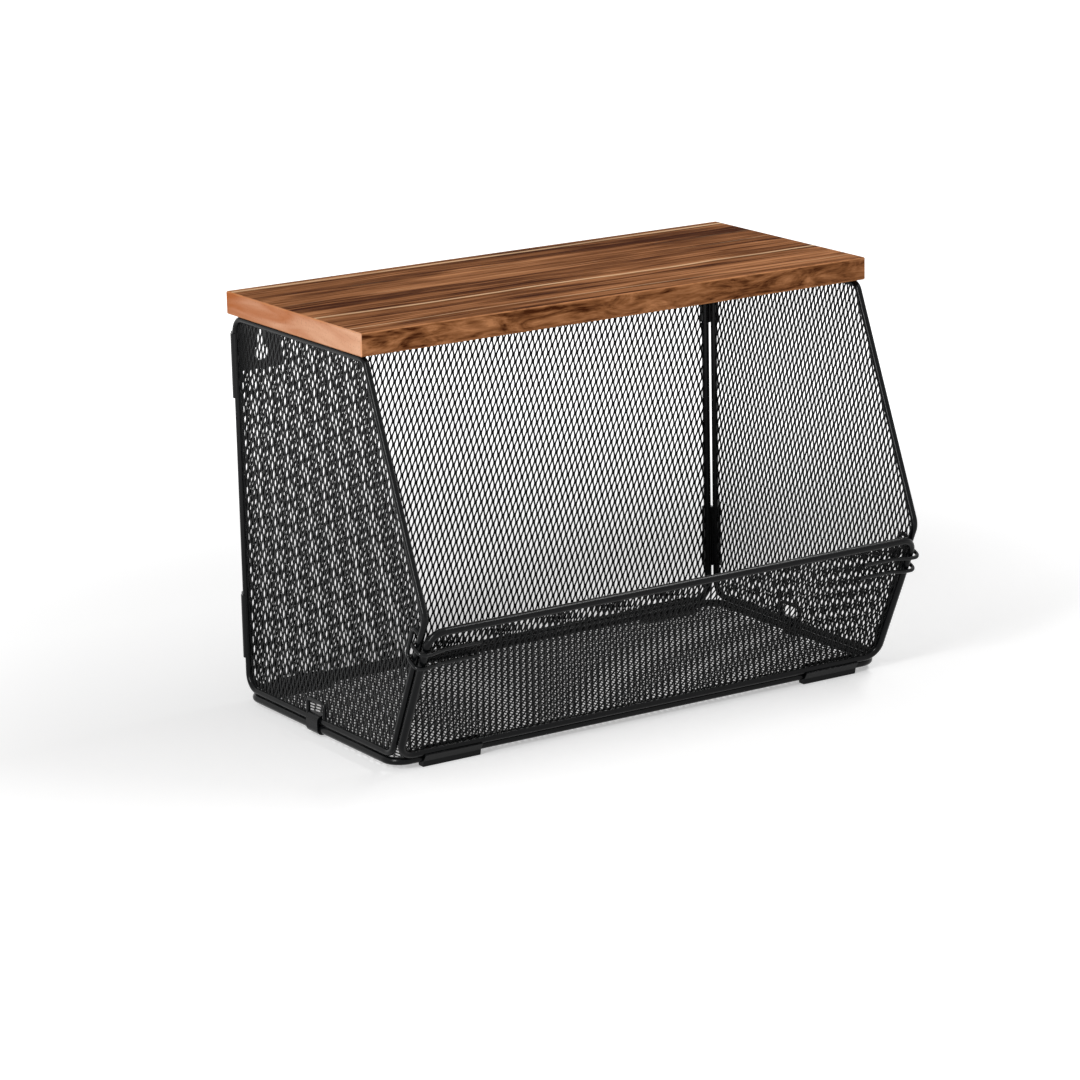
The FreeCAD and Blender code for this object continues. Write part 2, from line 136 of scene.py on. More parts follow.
class BasketMeshSettings(bpy.types.PropertyGroup):
    """Sizes of the expanded mesh."""

    pitch_across: bpy.props.FloatProperty(
        name="Pitch Across", description="Distance between gaps in one row", default=3.655 * MM,
        min=2 * MM, unit="LENGTH", precision=4)
    pitch_up: bpy.props.FloatProperty(
        name="Pitch Up", description="Distance between gaps in one column", default=8.27 * MM,
        min=3 * MM, unit="LENGTH", precision=4)
    strand: bpy.props.FloatProperty(
        name="Strand Width", description="Width of one strand of the sheet", default=0.86 * MM,
        min=0.2 * MM, unit="LENGTH", precision=5)
    bond: bpy.props.FloatProperty(
        name="Bond Length", description="Length over which neighbouring strands stay joined",
        default=1.3 * MM, min=0.0, unit="LENGTH", precision=5)
    sheet: bpy.props.FloatProperty(
        name="Sheet Thickness", description="Thickness of the expanded sheet", default=0.36 * MM,
        min=0.2 * MM, unit="LENGTH", precision=5)
    tilt: bpy.props.FloatProperty(
        name="Strand Tilt", description="Turn that slitting and stretching gives each strand",
        default=math.radians(5), subtype="ANGLE")
    row_slope: bpy.props.FloatProperty(
        name="Row Slope", description="How far the rows of gaps fall from the panel's own line",
        default=math.radians(6.05), subtype="ANGLE")
    column_slope: bpy.props.FloatProperty(
        name="Column Slope", description="How far the columns of gaps lean from the panel's own line",
        default=math.radians(9.56), subtype="ANGLE")


class BasketFinishSettings(bpy.types.PropertyGroup):
    """Colours of the coating and of the board."""

    coat: bpy.props.FloatVectorProperty(
        name="Powder Coat", description="Colour of the coated wire and sheet", subtype="COLOR",
        size=3, default=(0.0024, 0.0027, 0.0031), min=0, max=1)
    dust: bpy.props.FloatVectorProperty(
        name="Dust", description="Colour of the fine dust on upward faces", subtype="COLOR",
        size=3, default=(0.10, 0.10, 0.10), min=0, max=1)
    board_dark: bpy.props.FloatVectorProperty(
        name="Board Dark", description="Late wood of the board", subtype="COLOR",
        size=3, default=(0.050, 0.012, 0.003), min=0, max=1)
    board_middle: bpy.props.FloatVectorProperty(
        name="Board Middle", description="Main tone of the board", subtype="COLOR",
        size=3, default=(0.255, 0.097, 0.035), min=0, max=1)
    board_light: bpy.props.FloatVectorProperty(
        name="Board Light", description="Early wood of the board", subtype="COLOR",
        size=3, default=(0.52, 0.225, 0.095), min=0, max=1)
    board_end: bpy.props.FloatVectorProperty(
        name="Board End", description="Sawn end of the board", subtype="COLOR",
        size=3, default=(0.60, 0.27, 0.125), min=0, max=1)
    board_sap: bpy.props.FloatVectorProperty(
        name="Board Streak", description="Pale yellow streaks along the board", subtype="COLOR",
        size=3, default=(0.88, 0.57, 0.33), min=0, max=1)


class BasketStageSettings(bpy.types.PropertyGroup):
    """Floor, light and camera."""

    floor: bpy.props.FloatVectorProperty(
        name="Floor", description="Colour of the floor", subtype="COLOR",
        size=3, default=(0.82, 0.82, 0.82), min=0, max=1)
    room: bpy.props.FloatProperty(
        name="Room Light", description="Strength of the even light of the room", default=0.27, min=0)
    side_lamp: bpy.props.FloatProperty(
        name="Side Lamp", description="Power of the soft lamp at the left", default=15.0, min=0,
        subtype="POWER")
    top_lamp: bpy.props.FloatProperty(
        name="Top Lamp", description="Power of the soft lamp overhead", default=6.5, min=0,
        subtype="POWER")
    lens: bpy.props.FloatProperty(
        name="Lens", description="Focal length of the camera", default=138.172, min=10,
        subtype="DISTANCE_CAMERA")


# Node building

def socket_value(node, name, value):
    node.inputs[name].default_value = value


def new_group(name, kind, inputs, outputs):
    """Node group with its group input and output, the sockets given as (name, type, default)."""
    tree = bpy.data.node_groups.new(name, kind)
    for label, socket, default in inputs:
        made = tree.interface.new_socket(name=label, in_out="INPUT", socket_type=socket)
        if default is not None:
            made.default_value = default
    for label, socket in outputs:
        tree.interface.new_socket(name=label, in_out="OUTPUT", socket_type=socket)
    return tree, tree.nodes.new("NodeGroupInput"), tree.nodes.new("NodeGroupOutput")


def math_node(tree, operation, first, second=None, clamp=False):
    """Math node whose inputs are sockets or numbers; gives its output socket."""
    node = tree.nodes.new("ShaderNodeMath")
    node.operation = operation
    node.use_clamp = clamp
    for slot, value in enumerate((first, second)):
        if value is None:
            continue
        if isinstance(value, (int, float)):
            node.inputs[slot].default_value = value
        else:
            tree.links.new(value, node.inputs[slot])
    return node.outputs[0]


def fade(tree, value, start, end, low=0.0, high=1.0):
    """Maps a value smoothly from one range to another."""
    node = tree.nodes.new("ShaderNodeMapRange")
    node.interpolation_type = "SMOOTHSTEP"
    tree.links.new(value, node.inputs["Value"])
    socket_value(node, "From Min", start)
    socket_value(node, "From Max", end)
    socket_value(node, "To Min", low)
    socket_value(node, "To Max", high)
    return node.outputs["Result"]


def blend_colours(tree, factor, first, second):
    """Mixes two colours, each a socket or a tuple."""
    node = tree.nodes.new("ShaderNodeMix")
    node.data_type = "RGBA"
    if isinstance(factor, (int, float)):
        node.inputs["Factor"].default_value = factor
    else:
        tree.links.new(factor, node.inputs["Factor"])
    for name, value in (("A", first), ("B", second)):
        socket = next(s for s in node.inputs if s.name == name and s.type == "RGBA")
        if isinstance(value, bpy.types.NodeSocket):
            tree.links.new(value, socket)
        else:
            socket.default_value = (*value[:3], 1.0)
    return next(s for s in node.outputs if s.type == "RGBA")


def noise(tree, vector, scale, detail=3.0, roughness=0.5, distortion=0.0):
    """Noise texture on a vector; gives its value socket."""
    node = tree.nodes.new("ShaderNodeTexNoise")
    tree.links.new(vector, node.inputs["Vector"])
    socket_value(node, "Scale", scale)
    socket_value(node, "Detail", detail)
    socket_value(node, "Roughness", roughness)
    socket_value(node, "Distortion", distortion)
    return node.outputs[0]


def stretched(tree, vector, scale, offset=(0, 0, 0)):
    """Vector scaled by its own factor along each axis, then moved."""
    node = tree.nodes.new("ShaderNodeVectorMath")
    node.operation = "MULTIPLY_ADD"
    tree.links.new(vector, node.inputs[0])
    node.inputs[1].default_value = scale
    node.inputs[2].default_value = offset
    return node.outputs[0]


def coat_grain_group():
    """Fine orange peel and slow tone of a powder coat."""
    tree, source, sink = new_group(
        "Coat Grain", "ShaderNodeTree",
        [("Colour", "NodeSocketColor", (0.01, 0.01, 0.01, 1)), ("Tone Change", "NodeSocketFloat", 0.35),
         ("Roughness", "NodeSocketFloat", 0.4), ("Roughness Change", "NodeSocketFloat", 0.12),
         ("Grain Size", "NodeSocketFloat", 1800.0)],
        [("Colour", "NodeSocketColor"), ("Roughness", "NodeSocketFloat"), ("Height", "NodeSocketFloat")])
    place = tree.nodes.new("ShaderNodeTexCoord").outputs["Object"]
    slow = noise(tree, place, 42.0, 4.0, 0.6)
    peel = tree.nodes.new("ShaderNodeTexNoise")
    tree.links.new(place, peel.inputs["Vector"])
    tree.links.new(source.outputs["Grain Size"], peel.inputs["Scale"])
    socket_value(peel, "Detail", 2.0)
    swing = math_node(tree, "SUBTRACT", slow, 0.5)
    lighter = math_node(
        tree, "ADD", math_node(tree, "MULTIPLY", swing, source.outputs["Tone Change"]), 1.0)
    scaled = tree.nodes.new("ShaderNodeVectorMath")
    scaled.operation = "SCALE"
    tree.links.new(source.outputs["Colour"], scaled.inputs[0])
    tree.links.new(lighter, scaled.inputs["Scale"])
    tree.links.new(scaled.outputs[0], sink.inputs["Colour"])
    speckle = math_node(tree, "ADD", swing, math_node(tree, "SUBTRACT", peel.outputs[0], 0.5))
    change = math_node(tree, "MULTIPLY", speckle, source.outputs["Roughness Change"])
    tree.links.new(math_node(tree, "ADD", change, source.outputs["Roughness"]), sink.inputs["Roughness"])
    tree.links.new(peel.outputs[0], sink.inputs["Height"])
    return tree


def settled_dust_group():
    """Mask of the thin dust that lies on upward faces."""
    tree, source, sink = new_group(
        "Settled Dust", "ShaderNodeTree",
        [("Amount", "NodeSocketFloat", 0.1), ("Patch Size", "NodeSocketFloat", 60.0)],
        [("Mask", "NodeSocketFloat")])
    facing = tree.nodes.new("ShaderNodeSeparateXYZ")
    tree.links.new(tree.nodes.new("ShaderNodeNewGeometry").outputs["Normal"], facing.inputs[0])
    upward = fade(tree, facing.outputs["Z"], 0.45, 1.0)
    patch = tree.nodes.new("ShaderNodeTexNoise")
    tree.links.new(tree.nodes.new("ShaderNodeTexCoord").outputs["Object"], patch.inputs["Vector"])
    tree.links.new(source.outputs["Patch Size"], patch.inputs["Scale"])
    socket_value(patch, "Detail", 5.0)
    patchy = fade(tree, patch.outputs[0], 0.35, 0.7)
    lying = math_node(tree, "MULTIPLY", upward, patchy)
    tree.links.new(math_node(tree, "MULTIPLY", lying, source.outputs["Amount"]), sink.inputs["Mask"])
    return tree


def sap_streak_group():
    """Mask of one pale streak that runs along the board with a slight wander."""
    tree, source, sink = new_group(
        "Sap Streak", "ShaderNodeTree",
        [("Board Place", "NodeSocketVector", None), ("Offset", "NodeSocketFloat", 0.0),
         ("Width", "NodeSocketFloat", 0.0015), ("Wander", "NodeSocketFloat", 0.004),
         ("Run", "NodeSocketFloat", 6.0), ("Gaps", "NodeSocketFloat", 0.4)],
        [("Mask", "NodeSocketFloat")])
    split = tree.nodes.new("ShaderNodeSeparateXYZ")
    tree.links.new(source.outputs["Board Place"], split.inputs[0])
    along = tree.nodes.new("ShaderNodeCombineXYZ")
    tree.links.new(split.outputs["X"], along.inputs["X"])
    tree.links.new(source.outputs["Offset"], along.inputs["Y"])
    bend = tree.nodes.new("ShaderNodeTexNoise")
    tree.links.new(along.outputs[0], bend.inputs["Vector"])
    tree.links.new(source.outputs["Run"], bend.inputs["Scale"])
    socket_value(bend, "Detail", 3.0)
    bend_centred = math_node(tree, "SUBTRACT", bend.outputs[0], 0.5)
    swing = math_node(tree, "MULTIPLY", bend_centred, source.outputs["Wander"])
    from_offset = math_node(tree, "SUBTRACT", split.outputs["Y"], source.outputs["Offset"])
    away = math_node(tree, "ABSOLUTE", math_node(tree, "SUBTRACT", from_offset, swing))
    line = fade(tree, math_node(tree, "DIVIDE", away, source.outputs["Width"]), 1.0, 0.0)
    breaks = noise(tree, stretched(tree, along.outputs[0], (1, 1, 1), (3.1, 0, 0)), 14.0, 4.0, 0.6)
    strong = math_node(tree, "MULTIPLY", breaks, 2.2)
    strength = math_node(tree, "SUBTRACT", strong, source.outputs["Gaps"], True)
    tree.links.new(math_node(tree, "MULTIPLY", line, strength), sink.inputs["Mask"])
    return tree


SHADER_GROUPS = {}


def shader_group(name, maker):
    if name not in SHADER_GROUPS:
        SHADER_GROUPS[name] = maker()
    return SHADER_GROUPS[name]


def place_group(tree, group, values=()):
    node = tree.nodes.new("ShaderNodeGroup")
    node.node_tree = group
    for name, value in dict(values).items():
        if isinstance(value, bpy.types.NodeSocket):
            tree.links.new(value, node.inputs[name])
        else:
            node.inputs[name].default_value = value
    return node


def new_material(name):
    material = bpy.data.materials.new(name)
    material.use_nodes = True
    tree = material.node_tree
    shader = next(n for n in tree.nodes if n.type == "BSDF_PRINCIPLED")
    return material, tree, shader


def bump(tree, shader, height, distance, strength):
    node = tree.nodes.new("ShaderNodeBump")
    tree.links.new(height, node.inputs["Height"])
    socket_value(node, "Distance", distance)
    socket_value(node, "Strength", strength)
    tree.links.new(node.outputs["Normal"], shader.inputs["Normal"])


def powder_coat(name, finish, roughness, specular, grain, grain_depth, dust_amount, lighten):
    """Satin black powder coat, with fine peel, slow tone and a breath of dust."""
    material, tree, shader = new_material(name)
    colour = (*[c * lighten for c in finish.coat], 1.0)
    coat = place_group(tree, shader_group("coat", coat_grain_group), {
        "Colour": colour, "Roughness": roughness, "Grain Size": grain})
    dust = place_group(tree, shader_group("dust", settled_dust_group), {"Amount": dust_amount})
    tree.links.new(
        blend_colours(tree, dust.outputs["Mask"], coat.outputs["Colour"], tuple(finish.dust)),
        shader.inputs["Base Color"])
    duller = math_node(tree, "MULTIPLY", dust.outputs["Mask"], 0.4)
    tree.links.new(
        math_node(tree, "ADD", coat.outputs["Roughness"], duller), shader.inputs["Roughness"])
    socket_value(shader, "Specular IOR Level", specular)
    bump(tree, shader, coat.outputs["Height"], grain_depth, 0.35)
    return material


def colour_ramp(tree, value, stops):
    """Colour ramp with its (position, colour) stops given from low to high."""
    node = tree.nodes.new("ShaderNodeValToRGB")
    elements = node.color_ramp.elements
    for position, _ in stops[1:-1]:
        elements.new(position)
    for element, (position, colour) in zip(elements, stops):
        element.position = position
        element.color = (*colour, 1)
    tree.links.new(value, node.inputs[0])
    return node.outputs[0]


def tinted(colour, factors):
    return tuple(min(1.0, c * f) for c, f in zip(colour, factors))


def wandering(tree, place):
    """Place on the board, bent a little so that the streaks wander."""
    warp = noise(tree, stretched(tree, place, (5.0, 24.0, 24.0)), 1.0, 2.0)
    swing = math_node(tree, "SUBTRACT", warp, 0.5)
    bent = tree.nodes.new("ShaderNodeCombineXYZ")
    for axis, reach in (("Y", 0.010), ("Z", 0.006)):
        tree.links.new(math_node(tree, "MULTIPLY", swing, reach), bent.inputs[axis])
    shifted = tree.nodes.new("ShaderNodeVectorMath")
    tree.links.new(place, shifted.inputs[0])
    tree.links.new(bent.outputs[0], shifted.inputs[1])
    return shifted.outputs[0]


def board_top(tree, grain, depth, finish):
    """Colour of the top and bottom, its tone, and the layers that the relief uses."""
    layers = {}
    tone = None
    for name, (scale, offset, detail, roughness, distortion, share) in TOP_LAYERS.items():
        layers[name] = noise(
            tree, stretched(tree, grain, scale, offset), 1.0, detail, roughness, distortion)
        part = math_node(tree, "MULTIPLY", layers[name], share)
        tone = part if tone is None else math_node(tree, "ADD", tone, part)
    colour = colour_ramp(tree, tone, (
        (0.44, finish.board_dark), (0.51, finish.board_middle), (0.58, finish.board_light)))
    dark_line = math_node(tree, "MULTIPLY", fade(tree, layers["lines"], 0.34, 0.20), 0.75)
    colour = blend_colours(tree, dark_line, colour, tuple(finish.board_dark))
    for share, width, wander, run, gaps in SAP_STREAKS:
        sap = place_group(tree, shader_group("sap", sap_streak_group), {
            "Board Place": grain, "Offset": share * depth, "Width": width, "Wander": wander,
            "Run": run, "Gaps": gaps})
        colour = blend_colours(tree, sap.outputs["Mask"], colour, tuple(finish.board_sap))
    return colour, tone, layers


def board_front(tree, place, finish):
    """Colour of the front and back: a tighter, wavy figure."""
    curl = noise(tree, stretched(tree, place, (34.0, 90.0, 120.0), (1.0, 0, 2.0)), 1.0, 4.0, 0.6, 1.8)
    silk = noise(tree, stretched(tree, place, (90.0, 500.0, 700.0)), 1.0, 3.0, 0.6, 0.5)
    figure = math_node(
        tree, "ADD", math_node(tree, "MULTIPLY", curl, 0.72), math_node(tree, "MULTIPLY", silk, 0.28))
    return colour_ramp(tree, figure, (
        (0.38, tinted(finish.board_dark, (1.2, 1.2, 1.2))),
        (0.50, tinted(finish.board_middle, (1.05, 1.05, 1.05))),
        (0.65, tinted(finish.board_light, (1.02, 1.02, 1.02)))))


def board_end(tree, place, across, finish):
    """Colour of the sawn ends: paler to the front, partly the wood's own tone and partly painted light
    from the front left, with broad rings and open pores.
    """
    ring = noise(tree, stretched(tree, place, (1.0, 16.0, 110.0), (0, 0.6, 1.1)), 1.0, 3.0, 0.5, 0.6)
    pores = noise(tree, stretched(tree, place, (1.0, 900.0, 900.0)), 1.0, 2.0, 0.7)
    # Darker towards the back: partly the end grain's own tone, partly painted shade away from the light
    # at the front left.
    back_tone_and_shade = math_node(tree, "MULTIPLY", across, 4.0)
    pale = math_node(tree, "SUBTRACT", math_node(tree, "MULTIPLY", ring, 0.8), back_tone_and_shade)
    colour = blend_colours(
        tree, fade(tree, pale, 0.12, 0.66), tinted(finish.board_end, (0.67, 0.44, 0.28)),
        tinted(finish.board_end, (1.16, 1.45, 2.00)))
    return blend_colours(
        tree, fade(tree, pores, 0.44, 0.30, 0.0, 0.30), colour, tuple(finish.board_middle))


def painted_edge_highlight(tree, place, split, half):
    """Mask of the board's sharp edges, painted paler as a highlight where the arrises catch the light.
    """
    close = []
    for axis, reach in (("X", half.x), ("Y", half.y), ("Z", half.z)):
        away = math_node(tree, "ABSOLUTE", split.outputs[axis])
        close.append(fade(tree, away, reach - 0.0009, reach - 0.0002))
    pairs = [math_node(tree, "MULTIPLY", close[i], close[j]) for i, j in ((0, 1), (1, 2), (0, 2))]
    edge = math_node(tree, "MAXIMUM", math_node(tree, "MAXIMUM", pairs[0], pairs[1]), pairs[2])
    # Patchy noise breaks up the painted highlight along the edges.
    highlight_breaks = fade(tree, noise(tree, place, 140.0, 3.0), 0.25, 0.6, 0.25, 0.75)
    return math_node(tree, "MULTIPLY", edge, highlight_breaks)


def board_wood(finish, low, high):
    """Oiled brown board: streaky top, wavy front and back, pale sawn ends."""
    material, tree, shader = new_material("oiled_brown_board")
    own_place = tree.nodes.new("ShaderNodeTexCoord").outputs["Object"]
    place = stretched(tree, own_place, (1, 1, 1), tuple(-(low + high) / 2))
    split = tree.nodes.new("ShaderNodeSeparateXYZ")
    tree.links.new(place, split.inputs[0])

    top, tone, layers = board_top(tree, wandering(tree, place), high.y - low.y, finish)
    facing = tree.nodes.new("ShaderNodeSeparateXYZ")
    normal = tree.nodes.new("ShaderNodeNewGeometry").outputs["True Normal"]
    tree.links.new(normal, facing.inputs[0])
    on_front = fade(tree, math_node(tree, "ABSOLUTE", facing.outputs["Y"]), 0.60, 0.80)
    on_end = fade(tree, math_node(tree, "ABSOLUTE", facing.outputs["X"]), 0.30, 0.60)
    colour = blend_colours(tree, on_front, top, board_front(tree, place, finish))
    colour = blend_colours(tree, on_end, colour, board_end(tree, place, split.outputs["Y"], finish))
    # Painted highlight on the edges: a paler tint of the early wood.
    colour = blend_colours(
        tree, painted_edge_highlight(tree, place, split, (high - low) / 2), colour,
        tinted(finish.board_light, (1.25, 1.25, 1.25)))

    tree.links.new(colour, shader.inputs["Base Color"])
    tree.links.new(fade(tree, tone, 0.35, 0.65, 0.74, 0.62), shader.inputs["Roughness"])
    socket_value(shader, "Specular IOR Level", 0.015)
    height = math_node(
        tree, "ADD", math_node(tree, "MULTIPLY", layers["fibre"], 0.7),
        math_node(tree, "MULTIPLY", layers["streak"], 0.3))
    bump(tree, shader, height, 0.00012, 0.5)
    return material


# Expanded mesh

def rounded_outline(points, radii, steps=6):
    """Convex outline with its corners rounded, as a list of points."""
    outline = []
    count = len(points)
    for i, (corner, radius) in enumerate(zip(points, radii)):
        before = (points[i - 1] - corner).normalized()
        after = (points[(i + 1) % count] - corner).normalized()
        half = before.angle(after) / 2
        reach = radius / math.tan(half)
        centre = corner + (before + after).normalized() * (radius / math.sin(half))
        enter = corner + before * reach
        leave = corner + after * reach
        for step in range(steps + 1):
            share = step / steps
            spoke = (enter - centre).lerp(leave - centre, share)
            outline.append(centre + spoke.normalized() * radius)
    return outline


def span_inside(a, b, outline):
    """Part of a segment inside a convex outline, as two shares of its length, or None."""
    start, end = 0.0, 1.0
    run = b - a
    count = len(outline)
    for i in range(count):
        p = outline[i]
        edge = outline[(i + 1) % count] - p
        if edge.length < 1e-9:
            continue
        inward = Vector((-edge.y, edge.x))
        place = inward.dot(a - p)
        rate = inward.dot(run)
        if abs(rate) < 1e-15:
            if place < 0:
                return None
            continue
        share = -place / rate
        if rate > 0:
            start = max(start, share)
        else:
            end = min(end, share)
        if start >= end:
            return None
    return start, end


def kept_spans(a, b, outline, holes):
    """Parts of a segment inside the outline and outside every hole."""
    whole = span_inside(a, b, outline)
    if whole is None:
        return []
    spans = [whole]
    for hole in holes:
        gap = span_inside(a, b, hole)
        if gap is None:
            continue
        left = []
        for start, end in spans:
            if gap[0] > start:
                left.append((start, min(end, gap[0])))
            if gap[1] < end:
                left.append((max(start, gap[1]), end))
        spans = [s for s in left if s[1] - s[0] > 1e-6]
    return spans


def strand_lines(outline, holes, settings):
    """Centre lines of the zigzag strands of a sheet, cut to its outline and round its holes."""
    column = settings.pitch_across / 2
    row = settings.pitch_up / 2
    low = Vector((min(p.x for p in outline), min(p.y for p in outline)))
    high = Vector((max(p.x for p in outline), max(p.y for p in outline)))
    reach = (high - low).length / 2
    columns = int(reach / column) + 4
    rows = int(reach / row) + 4
    middle = (low + high) / 2
    across = Vector((math.cos(settings.row_slope), -math.sin(settings.row_slope)))
    along = Vector((math.sin(settings.column_slope), math.cos(settings.column_slope)))
    points = []
    edges = []
    for k in range(-columns, columns):
        path = []
        for j in range(-rows, rows + 1):
            touches_left = (j + k) % 2 == 0
            x = k * column + (settings.strand / 2 if touches_left else column - settings.strand / 2)
            for end in (-0.5, 0.5):
                path.append(middle + across * x + along * (j * row + end * settings.bond))
        last = None
        for a, b in zip(path, path[1:]):
            for start, end in kept_spans(a, b, outline, holes):
                first = a.lerp(b, start)
                second = a.lerp(b, end)
                if last is None or (points[last] - first).length > 1e-7:
                    points.append(first)
                    last = len(points) - 1
                points.append(second)
                edges.append((last, len(points) - 1))
                last = len(points) - 1
    return points, edges


def expanded_mesh_tree():
    """Gives each strand line the rectangular section of the slit sheet."""
    tree, source, sink = new_group(
        "Expanded Mesh", "GeometryNodeTree",
        [("Strand Lines", "NodeSocketGeometry", None), ("Strand Width", "NodeSocketFloat", 0.001),
         ("Sheet Thickness", "NodeSocketFloat", 0.001), ("Strand Tilt", "NodeSocketFloat", 0.0),
         ("Coating", "NodeSocketMaterial", None)],
        [("Sheet", "NodeSocketGeometry")])
    path = tree.nodes.new("GeometryNodeMeshToCurve")
    tree.links.new(source.outputs["Strand Lines"], path.inputs["Mesh"])
    upright = tree.nodes.new("GeometryNodeSetCurveNormal")
    upright.mode = "Z_UP"
    tree.links.new(path.outputs["Curve"], upright.inputs["Curve"])
    tilted = tree.nodes.new("GeometryNodeSetCurveTilt")
    tree.links.new(upright.outputs["Curve"], tilted.inputs["Curve"])
    tree.links.new(source.outputs["Strand Tilt"], tilted.inputs["Tilt"])
    section = tree.nodes.new("GeometryNodeCurvePrimitiveQuadrilateral")
    section.mode = "RECTANGLE"
    tree.links.new(source.outputs["Strand Width"], section.inputs["Width"])
    tree.links.new(source.outputs["Sheet Thickness"], section.inputs["Height"])
    sheet = tree.nodes.new("GeometryNodeCurveToMesh")
    tree.links.new(tilted.outputs["Curve"], sheet.inputs["Curve"])
    tree.links.new(section.outputs["Curve"], sheet.inputs["Profile Curve"])
    socket_value(sheet, "Fill Caps", True)
    real = tree.nodes.new("GeometryNodeRealizeInstances")
    tree.links.new(sheet.outputs["Mesh"], real.inputs["Geometry"])
    finish = tree.nodes.new("GeometryNodeSetMaterial")
    tree.links.new(real.outputs["Geometry"], finish.inputs["Geometry"])
    tree.links.new(source.outputs["Coating"], finish.inputs["Material"])
    tree.links.new(finish.outputs["Geometry"], sink.inputs["Sheet"])
    return tree


def set_modifier_input(modifier, tree, name, value):
    item = next(i for i in tree.interface.items_tree if i.in_out == "INPUT" and i.name == name)
    modifier[item.identifier] = value


def plane_matrix(origin, across, along):
    """Turns a sheet drawn in the XY plane to the plane of its panel."""
    normal = across.cross(along)
    turn = Matrix((across, along, normal)).transposed().to_4x4()
    return Matrix.Translation(origin) @ turn


def rectangle(left, right, low, high):
    return [Vector((left, low)), Vector((right, low)), Vector((right, high)), Vector((left, high))]


def panel_plans():
    """Outline, holes and place of each sheet of expanded mesh, in metres."""
    side_low, side_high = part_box("left_side_frame")
    rod = SIDE_ROD * MM
    rear_y = side_high.y - rod
    side_bottom = side_low.z + rod
    side_top = side_high.z - rod
    half_spread = -side_low.x - rod
    waist = Vector((SIDE_WAIST_DEPTH * MM, side_bottom + SIDE_WAIST_HEIGHT * MM))
    corners = [Vector((0, side_bottom)), Vector((SIDE_BASE_DEPTH * MM, side_bottom)), waist,
               Vector((SIDE_TOP_DEPTH * MM, side_top)), Vector((0, side_top))]
    radii = (SIDE_CORNER, SIDE_CORNER, SIDE_CORNER, SIDE_TOP_CORNER, SIDE_CORNER)
    side_outline = rounded_outline(corners, [radius * MM for radius in radii])
    lean = math.atan2(SIDE_WAIST_DEPTH - SIDE_BASE_DEPTH, SIDE_WAIST_HEIGHT)
    up_slope = Vector((math.sin(lean), math.cos(lean)))
    off_slope = Vector((math.cos(lean), -math.sin(lean)))
    centre = waist - up_slope * FRONT_WINDOW_DROP * MM
    front_hole = [centre + off_slope * corner.x + up_slope * corner.y for corner in rectangle(
        -FRONT_WINDOW[0] * MM, 2 * rod, -FRONT_WINDOW[1] * MM / 2, FRONT_WINDOW[1] * MM / 2)]
    clip = CLIP_SETBACK * MM
    base_hole = rectangle(clip - BASE_WINDOW[0] * MM / 2, clip + BASE_WINDOW[0] * MM / 2,
                          side_bottom - 2 * rod, side_bottom + BASE_WINDOW[1] * MM)
    plans = []
    for side, sign in (("left", -1), ("right", 1)):
        plans.append({
            "name": side + "_expanded_mesh", "node": side + "_side_mesh", "body": side + "_side",
            "outline": side_outline, "holes": [front_hole, base_hole],
            "place": plane_matrix(
                Vector((sign * half_spread, rear_y, 0)), Vector((0, -1, 0)), Vector((0, 0, 1)))})

    thick = FRAME_ROD * MM
    low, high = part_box("back_frame")
    half = high.x - thick
    outline = rounded_outline(
        rectangle(-half, half, low.z + thick, high.z - thick), [FRAME_CORNER * MM] * 4)
    plate_w, plate_h = (s * MM for s in PLATE_SIZE)
    holes = [rectangle(edge - (plate_w if edge > 0 else thick), edge + (plate_w if edge < 0 else thick),
                       high.z - thick - plate_h, high.z) for edge in (-half, half)]
    plans.append({
        "name": "back_expanded_mesh", "node": "back_mesh", "body": "base_and_back",
        "outline": outline, "holes": holes,
        "place": plane_matrix(
            Vector((0, (low.y + high.y) / 2, 0)), Vector((1, 0, 0)), Vector((0, 0, 1)))})

    low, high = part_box("base_frame")
    half = high.x - thick
    front = low.y + thick
    outline = rounded_outline(rectangle(-half, half, front, high.y - thick), [FRAME_CORNER * MM] * 4)
    notch = (FRAME_ROD + STRAP_SHEET + MESH_CLEARANCE) * MM
    half_strap = (FLOOR_STRAP_LENGTH / 2 + STRAP_END_ROOM) * MM
    holes = [rectangle(middle - half_strap, middle + half_strap, front - notch, front + notch)
             for middle in (-FLOOR_STRAP_OFFSET * MM, FLOOR_STRAP_OFFSET * MM)]
    plans.append({
        "name": "base_expanded_mesh", "node": "base_mesh", "body": "base_and_back",
        "outline": outline, "holes": holes,
        "place": plane_matrix(
            Vector((0, 0, (low.z + high.z) / 2)), Vector((1, 0, 0)), Vector((0, 1, 0)))})

    low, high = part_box("front_frame")
    half = high.x - thick
    foot = Vector((0, high.y - thick, low.z + thick))
    outline = rounded_outline(
        rectangle(-half, half, 0, FRONT_PANEL_HEIGHT * MM), [FRONT_CORNER * MM] * 4)
    plans.append({
        "name": "front_expanded_mesh", "node": "front_mesh", "body": "front_panel",
        "outline": outline, "holes": [],
        "place": plane_matrix(
            foot, Vector((1, 0, 0)), Vector((0, -math.sin(lean), math.cos(lean))))})
    return plans


